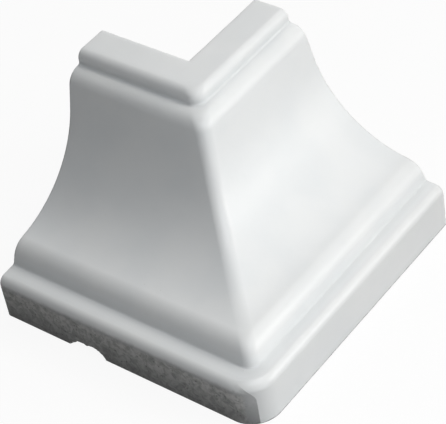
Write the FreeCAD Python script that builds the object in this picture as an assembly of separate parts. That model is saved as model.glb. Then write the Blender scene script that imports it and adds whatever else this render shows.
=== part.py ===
"""Outside corner piece of a coved wall moulding, cast as one solid and glazed.

Everything is in millimetres, with Z up. The piece stands on its flat base at height zero.
The two walls that it caps meet in a vertical edge, and the faces that lie against them
are square to each other. One arm runs along +X past that edge and the other along +Y.
The section is a chain of straight runs with rounded turns. It runs along both arms and
is turned round the outside corner, where every height has its own plan radius.
"""
import FreeCAD, Part
import math
import os

os.makedirs("parts", exist_ok=True)

# Overall sizes
height = 50.0  # base to top
depth = 48.3  # from the wall to the glazed face of the plinth, on the arm along +X
bare_depth = 49.3  # the same on the arm along +Y, whose bare face stands further out
arm_length = 25.4  # from the edge of the wall to the cut end of each arm

# Section, from the top down
cap_depth = 9.3  # flat cap, from the wall to its outer face
cap_edge_radius = 2.7  # rounded outer edge of the cap
groove_drop = 3.2  # from the top down to the bottom of the groove
groove_radius = 0.3
upper_bead_depth = 13.3
upper_bead_drop = 3.45
upper_bead_radius = 5.0
cove_depth = 20.2  # corner that the cove's two straight runs would meet in
cove_height = 19.9
cove_radius = 28.5
lower_bead_depth = 42.0
lower_bead_height = 16.65
lower_bead_radius = 5.2
step_depth = 43.5
step_height = 12.3
step_radius = 0.4
plinth_height = 11.7  # outer edge of the plinth's sloping top, before rounding
plinth_edge_radius = 1.9
base_edge_radius = 0.5
end_edge_radius = 0.8  # upright edges between the cut ends and the walls

# Plan radius of the outside corner at each turn of the section
cap_corner_radius = 3.2
groove_corner_radius = 3.0
upper_bead_corner_radius = 3.0
cove_corner_radius = 2.6
lower_bead_corner_radius = 2.6
step_corner_radius = 2.8
plinth_corner_radius = 7.2

# Hollows of the break in the lower edge of the bare face: place, length and bite
break_hollows = [(2.6, 7.6, 2.1), (-1.2, 6.4, 2.6)]


def fitted(turns):
    """Tangent length of each turn, shortened where two turns would run into each other."""
    lengths = [0.0] * len(turns)
    for i in range(1, len(turns) - 1):
        before, here, after = turns[i - 1], turns[i], turns[i + 1]
        back = math.atan2(before[1] - here[1], before[0] - here[0])
        ahead = math.atan2(after[1] - here[1], after[0] - here[0])
        half = abs(back - ahead) / 2.0
        if half > math.pi / 2.0:
            half = math.pi - half
        lengths[i] = here[2] / math.tan(half)
    for i in range(len(turns) - 1):
        run = math.dist(turns[i][:2], turns[i + 1][:2])
        both = lengths[i] + lengths[i + 1]
        if both > 0.96 * run:
            lengths[i] *= 0.96 * run / both
            lengths[i + 1] *= 0.96 * run / both
    return lengths


def between(first, second, distance):
    """The point at a distance from the first turn towards the second, with its plan radius."""
    share = distance / math.dist(first[:2], second[:2])
    point = [first[n] + (second[n] - first[n]) * share for n in (0, 1, 3)]
    return point[0], point[1], point[2], 1.0


def section(turns):
    """Runs and turns in order, each a list of points (depth, height, plan radius, weight)."""
    lengths = fitted(turns)
    pieces = []
    last = None
    for i in range(1, len(turns) - 1):
        before, here, after = turns[i - 1], turns[i], turns[i + 1]
        start = between(here, before, lengths[i])
        end = between(here, after, lengths[i])
        back = (before[0] - here[0], before[1] - here[1])
        ahead = (after[0] - here[0], after[1] - here[1])
        dot = back[0] * ahead[0] + back[1] * ahead[1]
        cosine = dot / math.hypot(*back) / math.hypot(*ahead)
        weight = math.sin(math.acos(cosine) / 2.0)
        if last:
            pieces.append([last, start])
        pieces.append([start, (here[0], here[1], here[3], weight), end])
        last = end
    return pieces


def turns_of(plinth_depth):
    """Turns of the section: depth, height, radius of the turn, plan radius of the corner."""
    bead_height = height - upper_bead_drop
    return [
        (0.0, height, 0.0, cap_corner_radius),
        (cap_depth, height, cap_edge_radius, cap_corner_radius),
        (cap_depth, height - groove_drop, groove_radius, groove_corner_radius),
        (upper_bead_depth, bead_height, upper_bead_radius, upper_bead_corner_radius),
        (cove_depth, cove_height, cove_radius, cove_corner_radius),
        (lower_bead_depth, lower_bead_height, lower_bead_radius, lower_bead_corner_radius),
        (step_depth, step_height, step_radius, step_corner_radius),
        (plinth_depth, plinth_height, plinth_edge_radius, plinth_corner_radius),
        (plinth_depth, 0.0, base_edge_radius, plinth_corner_radius),
        (0.0, 0.0, 0.0, plinth_corner_radius),
    ]


def vector(x, y, z):
    return FreeCAD.Vector(x, y, z)


def mirrored(point):
    return FreeCAD.Vector(point.y, point.x, point.z)


def curve(points, weights):
    """An edge through two points, or a turn through three."""
    if len(points) == 2:
        return Part.makeLine(points[0], points[1])
    line = Part.BSplineCurve()
    line.buildFromPolesMultsKnots(points, [3, 3], [0.0, 1.0], False, 2, weights)
    return line.toShape()


def surface(rows, weights):
    """One patch through a grid of control points."""
    u_degree = len(rows) - 1
    v_degree = len(rows[0]) - 1
    u_counts = [u_degree + 1, u_degree + 1]
    v_counts = [v_degree + 1, v_degree + 1]
    ends = [0.0, 1.0]
    patch = Part.BSplineSurface()
    patch.buildFromPolesMultsKnots(
        rows, u_counts, v_counts, ends, ends, False, False, u_degree, v_degree, weights
    )
    return patch.toShape()


def arm_face(near, far, weights):
    """Face of an arm from the corner out to the cut end, flat where the section is straight."""
    if len(near) == 2:
        return Part.Face(Part.makePolygon([near[0], far[0], far[1], near[1], near[0]]))
    return surface([[a, b] for a, b in zip(near, far)], [[w, w] for w in weights])


def cut_end(points, weights, foot):
    """Flat cut end of an arm, inside its section and the eased edge at the wall."""
    top = foot + vector(0.0, 0.0, height)
    edges = [curve(p, w) for p, w in zip(points, weights)]
    edges.append(Part.makeLine(points[-1][-1], foot))
    edges.append(Part.makeLine(foot, top))
    edges.append(Part.makeLine(top, points[0][0]))
    return Part.Face(Part.Wire(edges))


def eased_edge(level):
    """Quarter round from the wall to the cut end of the arm along +X, at one height."""
    r = end_edge_radius
    share = r - r * math.sqrt(0.5)
    start = vector(arm_length - r, 0.0, level)
    middle = vector(arm_length - share, -share, level)
    end = vector(arm_length, -r, level)
    return start, middle, end


def level_face(right, left, r, level):
    """Flat top or flat base, with the rounded outside corner between the arms."""
    wall_corner = vector(0.0, 0.0, level)
    right_wall, right_eased, right_end = eased_edge(level)
    left_wall, left_eased, left_end = (mirrored(point) for point in eased_edge(level))
    right_outer = vector(arm_length, -right, level)
    right_turn = vector(-(left - r), -right, level)
    corner = vector(-left, -right, level)
    left_turn = vector(-left, -(right - r), level)
    left_outer = vector(-left, arm_length, level)
    edges = [
        Part.makeLine(wall_corner, right_wall),
        Part.Arc(right_wall, right_eased, right_end).toShape(),
        Part.makeLine(right_end, right_outer),
        Part.makeLine(right_outer, right_turn),
        curve([right_turn, corner, left_turn], [1.0, math.sqrt(0.5), 1.0]),
        Part.makeLine(left_turn, left_outer),
        Part.makeLine(left_outer, left_end),
        Part.Arc(left_end, left_eased, left_wall).toShape(),
        Part.makeLine(left_wall, wall_corner),
    ]
    return Part.Face(Part.Wire(edges))


# Shaped faces of both arms, and of the corner that joins them
right_section = section(turns_of(depth))
left_section = section(turns_of(bare_depth))
faces = []
right_ends, left_ends, end_weights = [], [], []
for right_piece, left_piece in zip(right_section, left_section):
    right_near, right_far, right_weights = [], [], []
    left_near, left_far, left_weights = [], [], []
    corner_rows, corner_weights = [], []
    for (right, h, r, right_w), (left, left_h, left_r, left_w) in zip(right_piece, left_piece):
        right_turn = vector(-(left - r), -right, h)
        left_turn = vector(-left, -(right - r), left_h)
        right_near.append(right_turn)
        right_far.append(vector(arm_length, -right, h))
        right_weights.append(right_w)
        left_near.append(left_turn)
        left_far.append(vector(-left, arm_length, left_h))
        left_weights.append(left_w)
        middle = vector(-left, -right, (h + left_h) / 2.0)
        corner_rows.append([left_turn, middle, right_turn])
        corner_weights.append([left_w, (left_w + right_w) / 2.0 * math.sqrt(0.5), right_w])
    faces.append(arm_face(right_near, right_far, right_weights))
    faces.append(arm_face(left_near, left_far, left_weights))
    faces.append(surface(corner_rows, corner_weights))
    right_ends.append(right_far)
    left_ends.append(left_far)
    end_weights.append((right_weights, left_weights))

# Cut ends, faces against the walls, and the eased upright edges between them
up = vector(0.0, 0.0, height)
wall, eased, end = eased_edge(0.0)
faces.append(cut_end(right_ends, [w[0] for w in end_weights], end))
faces.append(cut_end(left_ends, [w[1] for w in end_weights], mirrored(end)))
faces.append(Part.makeLine(vector(0.0, 0.0, 0.0), wall).extrude(up))
faces.append(Part.makeLine(vector(0.0, 0.0, 0.0), mirrored(wall)).extrude(up))
faces.append(Part.Arc(wall, eased, end).toShape().extrude(up))
faces.append(Part.Arc(mirrored(wall), mirrored(eased), mirrored(end)).toShape().extrude(up))

# Flat top and flat base
top_right, top_left = right_section[0][0], left_section[0][0]
base_right, base_left = right_section[-1][-1], left_section[-1][-1]
faces.append(level_face(top_right[0], top_left[0], top_right[2], height))
faces.append(level_face(base_right[0], base_left[0], base_right[2], 0.0))

skin = Part.Compound(faces)
skin.sewShape()
shell = Part.Shell(skin.Faces)
if Part.Solid(shell).Volume < 0.0:
    shell.reverse()
body = Part.Solid(shell)

# The break is what a few round hollows leave in the lower edge of the bare face
for place, length, bite in break_hollows:
    ball_radius = (length ** 2 / 4.0 + bite ** 2) / (2.0 * bite)
    reach = (ball_radius - bite) * math.sqrt(0.5)
    body = body.cut(Part.makeSphere(ball_radius, vector(-bare_depth - reach, place, -reach)))

# The piece is set down with the middle of its footprint at the origin
shift_x = (bare_depth - arm_length) / 2.0
shift_y = (depth - arm_length) / 2.0
body.translate(vector(shift_x, shift_y, 0.0))

body.exportStep("parts/corner_moulding.step")
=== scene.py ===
"""Looks of a glazed ceramic outside corner piece for a coved moulding."""
from collections import namedtuple
import math

import bpy
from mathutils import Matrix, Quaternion, Vector


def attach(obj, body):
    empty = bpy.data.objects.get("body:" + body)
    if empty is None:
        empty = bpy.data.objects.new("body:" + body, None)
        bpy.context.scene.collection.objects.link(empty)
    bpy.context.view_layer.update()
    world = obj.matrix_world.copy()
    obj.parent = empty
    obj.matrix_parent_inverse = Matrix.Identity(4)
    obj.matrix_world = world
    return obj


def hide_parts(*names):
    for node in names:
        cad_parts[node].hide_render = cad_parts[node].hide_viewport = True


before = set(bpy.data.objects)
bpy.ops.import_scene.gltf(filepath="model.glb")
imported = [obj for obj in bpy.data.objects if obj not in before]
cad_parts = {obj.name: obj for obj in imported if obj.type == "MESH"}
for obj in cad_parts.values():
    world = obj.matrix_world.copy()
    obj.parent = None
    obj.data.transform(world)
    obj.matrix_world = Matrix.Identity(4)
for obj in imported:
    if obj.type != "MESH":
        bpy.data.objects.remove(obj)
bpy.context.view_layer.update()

# Corner piece
# A cap for the outside corner where two walls meet, cast in one and glazed white. Its coved
# section runs along both arms and is turned round the corner, where every height of the section
# has its own plan radius. Its flat inner faces lie against the walls.

# Sizes are in millimetres, and are turned into metres where a mesh or a shape node takes them
mm = 0.001
arm_length = 25.4
plinth_depth = 48.3
bare_step = 1.0
edge_ease = 0.5

# Where the edge of the walls, the cut ends and the bare plinth face stand in the frame
wall_edge_x = 11.95
wall_edge_y = 11.45
cut_end_x = wall_edge_x + arm_length
cut_end_y = wall_edge_y + arm_length
bare_face_x = wall_edge_x - plinth_depth - bare_step

# Each turn of the section: where it is, its radius and steps, the plan radius of the corner at
# its height, its share of the step between the two plinth faces, and how much glaze gathers
# there, or draws off where the number is negative; where it gathers, shade is painted in too
Turn = namedtuple("Turn", "depth level radius steps corner_radius step_share glaze_gather")
section_turns = [
    Turn(0.0, 50.0, edge_ease, 5, 3.2, 0.0, -0.4),  # top of the cap, at the wall
    Turn(9.5, 50.0, 2.2, 12, 3.2, 0.0, -0.3),  # rounded edge of the cap
    Turn(9.5, 46.7, 0.6, 8, 3.0, 0.0, 0.7),  # groove
    Turn(13.3, 46.55, 4.0, 18, 3.0, 0.0, -0.2),  # upper bead
    Turn(20.2, 19.9, 28.5, 44, 2.6, 0.0, 0.0),  # cove
    Turn(42.0, 16.65, 5.2, 18, 2.6, 0.0, -0.3),  # lower bead
    Turn(43.8, 12.15, 0.6, 8, 2.8, 0.0, 0.7),  # small step above the plinth
    Turn(plinth_depth, 11.8, 2.1, 14, 7.2, 1.0, -0.5),  # rounded edge of the plinth
    Turn(plinth_depth, 0.0, 0.2, 3, 7.2, 1.0, 0.0),  # lower edge of the plinth
    Turn(0.0, 0.0, edge_ease, 5, 7.2, 0.0, 0.0),  # base, at the wall
]

# The break in the lower edge of the bare face: place, length and bite of each hollow
break_hollows = [(2.6, 7.6, 2.1), (-1.2, 6.4, 2.6)]


class Field:
    """One output of a node. Sums and products of fields are made as Math nodes."""

    def __init__(self, tree, socket):
        self.tree = tree
        self.socket = socket

    def __add__(self, other):
        return self.tree.math("ADD", self, other)

    def __radd__(self, other):
        return self.tree.math("ADD", other, self)

    def __sub__(self, other):
        return self.tree.math("SUBTRACT", self, other)

    def __rsub__(self, other):
        return self.tree.math("SUBTRACT", other, self)

    def __mul__(self, other):
        return self.tree.math("MULTIPLY", self, other)

    def __rmul__(self, other):
        return self.tree.math("MULTIPLY", other, self)

    def __truediv__(self, other):
        return self.tree.math("DIVIDE", self, other)


class Tree:
    """A node tree that is filled one node at a time."""

    def __init__(self, group):
        self.group = group

    def node(self, kind, settings=None, **inputs):
        """A node with its settings. Each input is a value or a field, by its name or as i0, i1."""
        made = self.group.nodes.new(kind)
        for name, value in (settings or {}).items():
            setattr(made, name, value)
        for name, value in inputs.items():
            by_number = name[0] == "i" and name[1:].isdigit()
            key = int(name[1:]) if by_number else name.replace("_", " ")
            if isinstance(value, Field):
                self.group.links.new(value.socket, made.inputs[key])
            else:
                made.inputs[key].default_value = value
        return made

    def field(self, kind, settings=None, out=0, **inputs):
        """The same, for the one output that is used."""
        return Field(self, self.node(kind, settings, **inputs).outputs[out])

    def parts(self, vector):
        """The X, Y and Z of a vector."""
        apart = self.node("ShaderNodeSeparateXYZ", Vector=vector)
        return [Field(self, apart.outputs[axis]) for axis in range(3)]

    def scaled(self, vector, factor):
        settings = {"operation": "SCALE"}
        return self.field("ShaderNodeVectorMath", settings, i0=vector, Scale=factor)

    def math(self, operation, first, second=0.0):
        return self.field("ShaderNodeMath", {"operation": operation}, i0=first, i1=second)

    def clamped(self, value, low=0.0, high=1.0):
        return self.math("MINIMUM", self.math("MAXIMUM", value, low), high)

    def ramp(self, value, start, end):
        """Goes smoothly from 0 to 1 while the value goes from start to end."""
        settings = {"interpolation_type": "SMOOTHSTEP"}
        return self.field("ShaderNodeMapRange", settings, i0=value, i1=start, i2=end)

    def noise(self, place, size, detail=2.0, roughness=0.5, swirl=0.0):
        """Noise from 0 to 1 whose lumps are about the given size in millimetres."""
        return self.field(
            "ShaderNodeTexNoise",
            Vector=place,
            Scale=1.0 / (size * mm),
            Detail=detail,
            Roughness=roughness,
            Distortion=swirl,
        )


class ShapeTree(Tree):
    """A Geometry Nodes tree with named inputs for its sizes."""

    def __init__(self, name):
        super().__init__(bpy.data.node_groups.new(name, "GeometryNodeTree"))
        sockets = self.group.interface
        for way in ("INPUT", "OUTPUT"):
            sockets.new_socket("Geometry", in_out=way, socket_type="NodeSocketGeometry")
        self.entry = self.group.nodes.new("NodeGroupInput")
        self.geometry = Field(self, self.entry.outputs["Geometry"])

    def size(self, name, value, kind="NodeSocketFloat"):
        socket = self.group.interface.new_socket(name, in_out="INPUT", socket_type=kind)
        socket.default_value = value
        return Field(self, self.entry.outputs[name])

    def attribute(self, name, kind="FLOAT"):
        return self.field("GeometryNodeInputNamedAttribute", {"data_type": kind}, Name=name)

    def store(self, geometry, name, value, kind="FLOAT", domain="POINT"):
        settings = {"data_type": kind, "domain": domain}
        return self.field(
            "GeometryNodeStoreNamedAttribute", settings, Geometry=geometry, Name=name, Value=value
        )

    def blurred(self, value, times):
        return self.field("GeometryNodeBlurAttribute", Value=value, Iterations=times)

    def moved(self, geometry, offset):
        return self.field("GeometryNodeSetPosition", Geometry=geometry, Offset=offset)

    def finish(self, geometry):
        leave = self.group.nodes.new("NodeGroupOutput")
        self.group.links.new(geometry.socket, leave.inputs[0])


def add_object(name, data):
    made = bpy.data.objects.new(name, data)
    bpy.context.scene.collection.objects.link(made)
    return made


def section_outline(turns):
    """The section as a closed chain of straight edges, with what each turn needs to be rounded."""
    mesh = bpy.data.meshes.new("moulding_section")
    points = [(turn.depth * mm, 0.0, turn.level * mm) for turn in turns]
    edges = [(i, (i + 1) % len(turns)) for i in range(len(turns))]
    mesh.from_pydata(points, edges, [])
    columns = {
        "turn_radius": [turn.radius * mm for turn in turns],
        "step_share": [turn.step_share for turn in turns],
        "glaze_gather": [turn.glaze_gather for turn in turns],
    }
    for name, values in columns.items():
        mesh.attributes.new(name, "FLOAT", "POINT").data.foreach_set("value", values)
    steps = mesh.attributes.new("turn_steps", "INT", "POINT")
    steps.data.foreach_set("value", [turn.steps for turn in turns])
    return add_object("moulding_section", mesh)


def plan_radius_at(tree, level, depth):
    """Plan radius of the corner at a height, in step with the turns of the section."""
    outer_turns = section_turns[1:-1]
    radius = outer_turns[0].corner_radius * mm
    for upper, lower in zip(outer_turns, outer_turns[1:]):
        growth = (lower.corner_radius - upper.corner_radius) * mm
        if growth:
            share = (upper.level * mm - level) / ((upper.level - lower.level) * mm)
            radius = radius + tree.clamped(share) * growth
    # Towards the wall the top and the base run in to its sharp edge
    run_in = 5.0 * mm
    return radius * tree.clamped(depth / run_in)


def rounded_section(tree):
    """The section with its turns rounded and its straight runs divided."""
    spacing = tree.size("Section spacing", 0.9 * mm)
    chain = tree.field("GeometryNodeMeshToCurve", Mesh=tree.geometry)
    rounded = tree.field(
        "GeometryNodeFilletCurve",
        {"mode": "POLY"},
        Curve=chain,
        Count=tree.attribute("turn_steps", "INT"),
        Radius=tree.attribute("turn_radius"),
    )
    place = tree.field("GeometryNodeInputPosition")
    following = tree.field("GeometryNodeOffsetPointInCurve", out="Point Index", Offset=1)
    settings = {"data_type": "FLOAT_VECTOR"}
    ahead = tree.field("GeometryNodeFieldAtIndex", settings, Index=following, Value=place)
    settings = {"operation": "DISTANCE"}
    run = tree.field("ShaderNodeVectorMath", settings, out="Value", i0=place, i1=ahead)
    cuts = tree.math("FLOOR", run / spacing)
    divided = tree.field("GeometryNodeSubdivideCurve", Curve=rounded, Cuts=cuts)

    # What the sweep needs at each point: where it is, which way is out, and the corner's radius
    depth, _, level = tree.parts(place)
    along_depth, _, along_level = tree.parts(tree.field("GeometryNodeInputTangent"))
    divided = tree.store(divided, "depth", depth)
    divided = tree.store(divided, "level", level)
    divided = tree.store(divided, "out_depth", along_level * -1.0)
    divided = tree.store(divided, "out_level", along_depth)
    radius = tree.blurred(plan_radius_at(tree, level, depth), 3)
    divided = tree.store(divided, "plan_radius", radius)
    pooling_and_shade = tree.blurred(tree.attribute("glaze_gather"), 6)
    return tree.store(divided, "glaze_gather", pooling_and_shade)


def swept_moulding(tree, section):
    """The section run along one arm, round the corner and along the other arm."""
    arm = tree.size("Arm length", arm_length * mm)
    step = tree.size("Bare face step", bare_step * mm)
    ease = tree.size("Edge ease", edge_ease * mm)
    ease_steps = tree.size("Ease steps", 5, "NodeSocketInt")
    arm_steps = tree.size("Arm steps", 84, "NodeSocketInt")
    corner_steps = tree.size("Corner steps", 28, "NodeSocketInt")
    edge_x = tree.size("Wall edge X", wall_edge_x * mm)
    edge_y = tree.size("Wall edge Y", wall_edge_y * mm)

    # Path: its points only count the steps, because each height is turned on its own radius
    steps = ease_steps * 2.0 + arm_steps * 2.0 + corner_steps
    path = tree.field(
        "GeometryNodeMeshLine",
        {"mode": "END_POINTS", "count_mode": "TOTAL"},
        Count=steps + 1.0,
        Offset=(0.0, 1.0, 0.0),
    )
    path = tree.store(path, "path_step", tree.field("GeometryNodeInputIndex"))
    path = tree.field("GeometryNodeMeshToCurve", Mesh=path)
    skin = tree.field("GeometryNodeCurveToMesh", Curve=path, Profile_Curve=section, Fill_Caps=True)

    count = tree.attribute("path_step")

    def share(start, length):
        """Goes from 0 to 1 over a length of the path, in steps."""
        return tree.clamped((count - start) / length)

    start_ease = share(0.0, ease_steps)
    first = share(ease_steps, arm_steps)
    turn = share(ease_steps + arm_steps, corner_steps)
    second = share(ease_steps + arm_steps + corner_steps, arm_steps)
    end_ease = share(steps - ease_steps, ease_steps)

    # At the cut ends the section draws in, so that the edges of the ends are eased
    quarter = math.pi / 2.0
    inset = ease * (1.0 - tree.math("SINE", (start_ease - end_ease) * quarter))
    right = tree.attribute("depth") - inset * tree.attribute("out_depth")
    level = tree.attribute("level") - inset * tree.attribute("out_level")
    left = right + step * tree.attribute("step_share")
    start_round = ease * tree.math("COSINE", start_ease * quarter)
    end_round = ease * tree.math("SINE", end_ease * quarter)

    # Each height turns about its own middle, which lies its plan radius in from both faces
    radius = tree.attribute("plan_radius")
    middle_x = radius - left
    middle_y = radius - right
    along_x = (1.0 - first) * (arm - ease - middle_x) + start_round
    along_y = second * (arm - ease - middle_y) + end_round
    x = middle_x + along_x - radius * tree.math("SINE", turn * quarter)
    y = middle_y + along_y - radius * tree.math("COSINE", turn * quarter)
    spot = tree.field("ShaderNodeCombineXYZ", X=x + edge_x, Y=y + edge_y, Z=level)
    skin = tree.field("GeometryNodeSetPosition", Geometry=skin, Position=spot)
    skin = tree.field("GeometryNodeMergeByDistance", Geometry=skin, Distance=0.002 * mm)
    return tree.field("GeometryNodeFlipFaces", Mesh=skin)


def break_balls(tree):
    """Lumpy balls that bite the break out of the lower edge of the bare face."""
    normal = tree.field("GeometryNodeInputNormal")
    lumps = tree.noise(tree.field("GeometryNodeInputPosition"), 1.6, 4.0, 0.6) - 0.5
    shift = tree.scaled(normal, lumps * tree.size("Break roughness", 0.9 * mm))
    balls = []
    for number, (place, length, bite) in enumerate(break_hollows, 1):
        radius = (length ** 2 / 4.0 + bite ** 2) / (2.0 * bite)
        reach = (radius - bite) * math.sqrt(0.5)
        ball_radius = tree.size(f"Hollow {number} radius", radius * mm)
        ball = tree.field("GeometryNodeMeshIcoSphere", Radius=ball_radius, Subdivisions=6)
        centre = ((bare_face_x - reach) * mm, (wall_edge_y + place) * mm, -reach * mm)
        ball = tree.field("GeometryNodeTransform", Geometry=ball, Translation=centre)
        ball = tree.moved(ball, shift)
        balls.append(tree.store(ball, "broken", True, "BOOLEAN", "FACE"))
    return balls


def uneven_skin(tree, skin):
    """The faces as they come out of the mould. Only the base and the cut ends stay flat."""
    place = tree.field("GeometryNodeInputPosition")
    wave = tree.size("Waviness", 0.09 * mm)
    rough = tree.size("Bare face roughness", 0.16 * mm)
    x, y, level = tree.parts(place)
    bare = tree.ramp(x, (bare_face_x + 0.75) * mm, (bare_face_x + 0.45) * mm)
    bare = bare * tree.ramp(level, 9.6 * mm, 8.8 * mm)
    height = (tree.noise(place, 11.0, 1.0) - 0.5) * wave
    height = height + (tree.noise(place, 1.3, 3.0, 0.6) - 0.5) * rough * bare
    height = height * tree.ramp(level, 0.1 * mm, 1.0 * mm)
    height = height * tree.ramp(x, (cut_end_x - 0.55) * mm, (cut_end_x - 1.55) * mm)
    height = height * tree.ramp(y, (cut_end_y - 0.55) * mm, (cut_end_y - 1.55) * mm)
    return tree.moved(skin, tree.scaled(tree.field("GeometryNodeInputNormal"), height))


def moulding_tree(glazed, broken):
    """The whole piece: section, sweep, unevenness of the cast, break and materials."""
    tree = ShapeTree("turned_moulding")
    skin = uneven_skin(tree, swept_moulding(tree, rounded_section(tree)))

    # Break
    cut = tree.node("GeometryNodeMeshBoolean", {"operation": "DIFFERENCE", "solver": "MANIFOLD"})
    tree.group.links.new(skin.socket, cut.inputs["Mesh 1"])
    for ball in break_balls(tree):
        tree.group.links.new(ball.socket, cut.inputs["Mesh 2"])
    skin = Field(tree, cut.outputs[0])

    # Smooth faces between crisp edges, and flat cut ends, which have more than four corners
    corners = tree.field("GeometryNodeInputMeshFaceNeighbors", out="Vertex Count")
    settings = {"data_type": "INT", "operation": "LESS_EQUAL"}
    smooth = tree.field("FunctionNodeCompare", settings, A=corners, B=4)
    skin = tree.field("GeometryNodeSetShadeSmooth", Geometry=skin, Shade_Smooth=smooth)
    bend = tree.field("GeometryNodeInputMeshEdgeAngle")
    crisp_angle = math.radians(32.0)
    settings = {"operation": "GREATER_THAN"}
    crisp = tree.field("FunctionNodeCompare", settings, A=bend, B=crisp_angle)
    skin = tree.store(skin, "sharp_edge", crisp, "BOOLEAN", "EDGE")

    skin = tree.field("GeometryNodeRealizeInstances", Geometry=skin)
    skin = tree.field("GeometryNodeSetMaterial", Geometry=skin, Material=glazed)
    inside = tree.attribute("broken", "BOOLEAN")
    skin = tree.field("GeometryNodeSetMaterial", Geometry=skin, Selection=inside, Material=broken)
    tree.finish(skin)
    return tree.group


class SurfaceTree(Tree):
    """The node tree of a material, for one Principled shader on Object coordinates."""

    def __init__(self, name):
        self.material = bpy.data.materials.new(name)
        self.material.use_nodes = True
        super().__init__(self.material.node_tree)
        self.shader = self.group.nodes["Principled BSDF"]
        self.place = self.field("ShaderNodeTexCoord", out="Object")

    def lumps(self, size, height, detail=2.0, roughness=0.5):
        """Unevenness about zero, of the given size and height in millimetres."""
        return (self.noise(self.place, size, detail, roughness) - 0.5) * (2.0 * height)

    def mixed(self, share, first, second):
        """A colour between two colours."""
        settings = {"data_type": "RGBA"}
        return self.field("ShaderNodeMix", settings, out=2, i0=share, i6=first, i7=second)

    def between(self, share, first, second):
        """A number between two numbers."""
        return first + (second - first) * share

    def finish(self, colour, roughness, relief):
        """Colour, roughness and relief, in millimetres, go to the shader."""
        bump = self.field("ShaderNodeBump", Height=relief, Distance=mm, Strength=1.0)
        for name, value in (("Base Color", colour), ("Roughness", roughness), ("Normal", bump)):
            self.group.links.new(value.socket, self.shader.inputs[name])
        return self.material


def body_look(tree, grain):
    """Colour and relief of the dull grey body, with coarser or finer grain."""
    dark_grey = (0.30, 0.305, 0.30, 1.0)
    grey = (0.37, 0.37, 0.36, 1.0)
    chalk = (0.68, 0.675, 0.665, 1.0)
    sand = (0.58, 0.58, 0.57, 1.0)
    pit_grey = (0.15, 0.148, 0.142, 1.0)
    patches = tree.ramp(tree.noise(tree.place, 4.5, 2.0), 0.38, 0.62)
    swirls = tree.ramp(tree.noise(tree.place, 1.7 * grain, 3.0, 0.6, 0.8), 0.34, 0.66)
    grains = tree.ramp(tree.noise(tree.place, 0.4 * grain, 3.0, 0.65), 0.38, 0.64)
    pits = tree.field("ShaderNodeTexVoronoi", Vector=tree.place, Scale=1.0 / (1.5 * grain * mm))
    pit = tree.ramp(pits, 0.26, 0.10)
    colour = tree.mixed(patches, dark_grey, grey)
    colour = tree.mixed(swirls * 0.85, colour, chalk)
    colour = tree.mixed(grains * 0.3, colour, sand)
    colour = tree.mixed(pit * 0.6, colour, pit_grey)
    relief = tree.lumps(1.7 * grain, 0.12 * grain, 4.0, 0.62) - pit * (0.08 * grain)
    return colour, relief


def bare_places(tree, x, y, z, wander):
    """Where there is no glaze: the bare plinth face, and all such places together."""
    # The glaze stops in the middle of the rounded outside corner. Higher up this line bends back
    # over the edge of the plinth and fades out, and along the arm the glaze thins out softly.
    bend_start = 7.3
    bend_height = 4.4
    line_offset = 0.2
    over = tree.clamped(z - bend_start, 0.0, bend_height)
    from_line = x - y + over * over * 0.25 + line_offset
    past_line = tree.ramp(from_line + wander * 0.2, 0.14, -0.14)
    below_edge = tree.ramp(z + wander * 0.5, 10.8, 9.5)
    wedge = tree.ramp(from_line, -3.4, -0.4) * tree.ramp(z, 11.9, 10.6)
    plinth_face = past_line * tree.math("MAXIMUM", below_edge, wedge * 0.85)

    # The glaze also stops just short of the cut ends, the faces against the walls, and the base
    end_x = tree.ramp(x + wander * 0.3, cut_end_x - 0.35, cut_end_x - 0.15)
    end_y = tree.ramp(y + wander * 0.3, cut_end_y - 0.35, cut_end_y - 0.15)
    from_walls = tree.math("MINIMUM", x - (wall_edge_x - 0.3), y - (wall_edge_y - 0.3))
    back = tree.ramp(from_walls + wander * 0.25, 0.0, 0.12)
    base = tree.ramp(z + wander * 0.5, 0.4, 0.2)
    bare = plinth_face
    for place in (end_x, end_y, back, base):
        bare = tree.math("MAXIMUM", bare, place)
    return plinth_face, bare


def bare_look(tree, across, z, wander, plinth_face):
    """Colour, roughness and relief of the bare body, as it came from the mould."""
    smooth_grey = (0.48, 0.49, 0.495, 1.0)
    painted_shade_black = (0.05, 0.05, 0.055, 1.0)

    # Next to the glaze the bare face is smooth and paler, and towards its foot it has painted shade
    rough = tree.ramp(z + wander, 9.9, 8.7) * tree.ramp(across + wander * 1.5, -3.0, -5.0)
    smooth = plinth_face * (1.0 - rough) * tree.ramp(z, 0.5, 0.9)
    # Painted shade: the bare body grows darker towards its foot
    foot_shade = tree.ramp(z + wander * 2.0, 9.0, 0.0)
    colour, relief = body_look(tree, 1.0)
    colour = tree.mixed(smooth * 0.92, colour, smooth_grey)
    colour = tree.mixed(foot_shade * 0.5, colour, painted_shade_black)

    # It lies a little below the skin of the glaze
    glaze_step = 0.01
    relief = relief * tree.between(smooth, 1.0, 0.15) - glaze_step
    return colour, tree.between(smooth, 0.88, 0.6), relief


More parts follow.
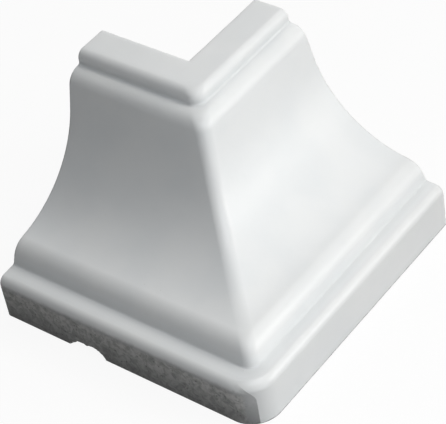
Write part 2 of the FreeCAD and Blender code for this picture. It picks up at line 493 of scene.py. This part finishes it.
def glaze_look(tree):
    """Colour, roughness and relief of the glaze, which is duller where it gathers and has painted
    shade there.
    """
    milk_white = (0.775, 0.795, 0.805, 1.0)
    clear_white = (0.81, 0.825, 0.83, 1.0)
    pooled_shade_grey = (0.62, 0.64, 0.648, 1.0)
    thin_white = (0.80, 0.80, 0.79, 1.0)
    pinhole_brown = (0.45, 0.43, 0.40, 1.0)
    pooling_and_shade = tree.field("ShaderNodeAttribute", {"attribute_name": "glaze_gather"}, out="Fac")
    pooled_and_shaded = tree.clamped(pooling_and_shade)
    thin = tree.clamped(pooling_and_shade * -1.0)
    cloud = tree.ramp(tree.noise(tree.place, 16.0, 2.0), 0.35, 0.65)
    colour = tree.mixed(cloud, milk_white, clear_white)
    # The grey where the glaze gathers, in the groove and the step, is pooled glaze and painted
    # shade
    colour = tree.mixed(pooled_and_shaded * 0.8, colour, pooled_shade_grey)
    colour = tree.mixed(thin * 0.6, colour, thin_white)

    # A few pinholes, each in the middle of a cell of its own
    cells = tree.node("ShaderNodeTexVoronoi", Vector=tree.place, Scale=1.0 / (5.0 * mm))
    chance = tree.field("ShaderNodeSeparateColor", i0=Field(tree, cells.outputs["Color"]))
    pinhole = tree.ramp(Field(tree, cells.outputs["Distance"]), 0.035, 0.015)
    pinhole = pinhole * tree.ramp(chance, 0.80, 0.81)
    colour = tree.mixed(pinhole * 0.45, colour, pinhole_brown)
    roughness = tree.lumps(9.0, 0.04, 2.0) + 0.34 + pinhole * 0.3 + pooled_and_shaded * 0.4
    relief = tree.lumps(1.7, 0.006, 1.0) + tree.lumps(0.45, 0.0012, 1.0) - pinhole * 0.04
    return colour, roughness, relief


def glazed_ceramic():
    """White glaze that stops short of the bare plinth face, the cut ends, the back and the base."""
    tree = SurfaceTree("white_glaze")
    x, y, z = tree.parts(tree.scaled(tree.place, 1.0 / mm))
    wander = tree.lumps(2.6, 0.45, 3.0, 0.6)
    plinth_face, bare = bare_places(tree, x, y, z, wander)
    body, dull, body_relief = bare_look(tree, x - y, z, wander, plinth_face)
    glaze, gloss, glaze_relief = glaze_look(tree)
    colour = tree.mixed(bare, glaze, body)
    roughness = tree.between(bare, gloss, dull)
    return tree.finish(colour, roughness, tree.between(bare, glaze_relief, body_relief))


def fractured_ceramic():
    """Dull, grainy inside of the body where the edge has broken away."""
    fresh_grey = (0.55, 0.54, 0.515, 1.0)
    tree = SurfaceTree("fractured_body")
    colour, relief = body_look(tree, 1.4)
    colour = tree.mixed(0.35, colour, fresh_grey)
    return tree.finish(colour, tree.lumps(0.8, 0.05) + 0.92, relief)


outline = section_outline(section_turns)
sweep = outline.modifiers.new("turned_moulding", "NODES")
sweep.node_group = moulding_tree(glazed_ceramic(), fractured_ceramic())
graph = bpy.context.evaluated_depsgraph_get()
swept_mesh = bpy.data.meshes.new_from_object(outline.evaluated_get(graph))
bpy.data.objects.remove(outline)
moulding = add_object("glazed_corner_moulding", swept_mesh)
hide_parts("corner_moulding")
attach(moulding, "root")

# Floor
# A plain pale studio floor that the piece stands on. The camera and mirror-like surfaces see
# almost pure white, in which a faint shadow stays, and the light that bounces off it meets a
# plain grey.
floor_reach = 4.0
floor_corners = [
    (-floor_reach, -floor_reach, 0.0),
    (floor_reach, -floor_reach, 0.0),
    (floor_reach, floor_reach, 0.0),
    (-floor_reach, floor_reach, 0.0),
]
floor_mesh = bpy.data.meshes.new("floor")
floor_mesh.from_pydata(floor_corners, [], [(0, 1, 2, 3)])
floor = add_object("floor", floor_mesh)
white = (1.0, 1.0, 1.0, 1.0)


def seen_directly(tree):
    """One for rays from the camera, from mirror-like surfaces and through glass."""
    path = tree.node("ShaderNodeLightPath")
    kinds = ("Is Camera Ray", "Is Glossy Ray", "Is Transmission Ray")
    camera_ray, glossy, through = (Field(tree, path.outputs[kind]) for kind in kinds)
    return tree.math("MAXIMUM", camera_ray, tree.math("MAXIMUM", glossy, through))


def pale_floor():
    """A little mottled, and mostly a plain white glow where it is seen directly."""
    floor_grey = (0.34, 0.34, 0.34, 1.0)
    mottled_grey = (0.36, 0.36, 0.36, 1.0)
    near_white = (0.92, 0.92, 0.92, 1.0)
    glow_share = 0.92
    tree = SurfaceTree("pale_floor")
    mottle = tree.ramp(tree.noise(tree.place, 60.0, 3.0), 0.3, 0.7)
    seen = seen_directly(tree)
    colour = tree.mixed(mottle, floor_grey, mottled_grey)
    colour = tree.mixed(seen, colour, near_white)
    tree.finish(colour, tree.lumps(4.0, 0.05) + 0.85, tree.lumps(0.5, 0.01))
    glow = tree.node("ShaderNodeEmission", Color=white, Strength=1.0)
    blend = tree.node("ShaderNodeMixShader", Fac=seen * glow_share)
    surface = tree.group.nodes["Material Output"].inputs["Surface"]
    tree.group.links.new(tree.shader.outputs[0], blend.inputs[1])
    tree.group.links.new(glow.outputs[0], blend.inputs[2])
    tree.group.links.new(blend.outputs[0], surface)
    return tree.material


floor_mesh.materials.append(pale_floor())

# Camera
# A long lens, turned a little on its own axis, looks down on the outside corner. Its place, aim
# and lens were fitted to points on the edges of the section.
camera_data = bpy.data.cameras.new("camera")
camera_data.lens = 161.8
camera_data.sensor_width = 36.0
camera = add_object("camera", camera_data)
camera.location = (-0.24481, -0.23682, 0.32379)
camera_aim = Vector((0.013983, 0.011631, 0.001773))
camera_roll = math.radians(-10.68)
level_view = (camera_aim - camera.location).to_track_quat("-Z", "Y")
camera.rotation_mode = "QUATERNION"
camera.rotation_quaternion = level_view @ Quaternion((0.0, 0.0, 1.0), camera_roll)
bpy.context.scene.camera = camera

# Light
# Three lamps in front of the right arm and on its right, the small one of which draws the shadows
# of the beads, one behind it on the right, and two small ones close to the outside corner, whose
# light falls off along both arms.
warm = (1.0, 0.986, 0.962)
cool = (0.958, 0.982, 1.0)
light_aim = Vector((0.0, 0.0, 0.02))


def lamp(name, azimuth, elevation, distance, size, power, colour):
    """A round lamp turned to the piece: degrees, degrees, metres, metres, watts and colour."""
    data = bpy.data.lights.new(name, "AREA")
    data.shape = "DISK"
    data.size = size
    data.energy = power
    data.color = colour
    flat = distance * math.cos(math.radians(elevation))
    turn = math.radians(azimuth)
    above = distance * math.sin(math.radians(elevation))
    place = Vector((flat * math.cos(turn), flat * math.sin(turn), above))
    light = add_object(name, data)
    light.location = place
    light.rotation_mode = "QUATERNION"
    light.rotation_quaternion = (light_aim - place).to_track_quat("-Z", "Y")


lamp("shadow_light", 295.0, 30.0, 1.2, 0.25, 2.7, warm)
lamp("front_light", 300.0, 25.0, 1.2, 1.0, 4.05, warm)
lamp("right_light", 340.0, 60.0, 1.2, 1.0, 4.6, warm)
lamp("back_light", 30.0, 30.0, 0.9, 0.5, 0.95, cool)
lamp("corner_light", 245.0, 62.0, 0.26, 0.12, 0.156, cool)
lamp("low_corner_light", 240.0, 8.0, 0.2, 0.12, 0.062, cool)

# The camera and mirror-like surfaces see a white world, which lights the piece only a little
surroundings = 0.026
world = bpy.data.worlds.new("studio")
world.use_nodes = True
world_tree = Tree(world.node_tree)
background = world.node_tree.nodes["Background"]
background.inputs["Color"].default_value = white
strength = surroundings + seen_directly(world_tree) * (1.0 - surroundings)
world.node_tree.links.new(strength.socket, background.inputs["Strength"])
bpy.context.scene.world = world
bpy.context.scene.view_settings.view_transform = "Standard"
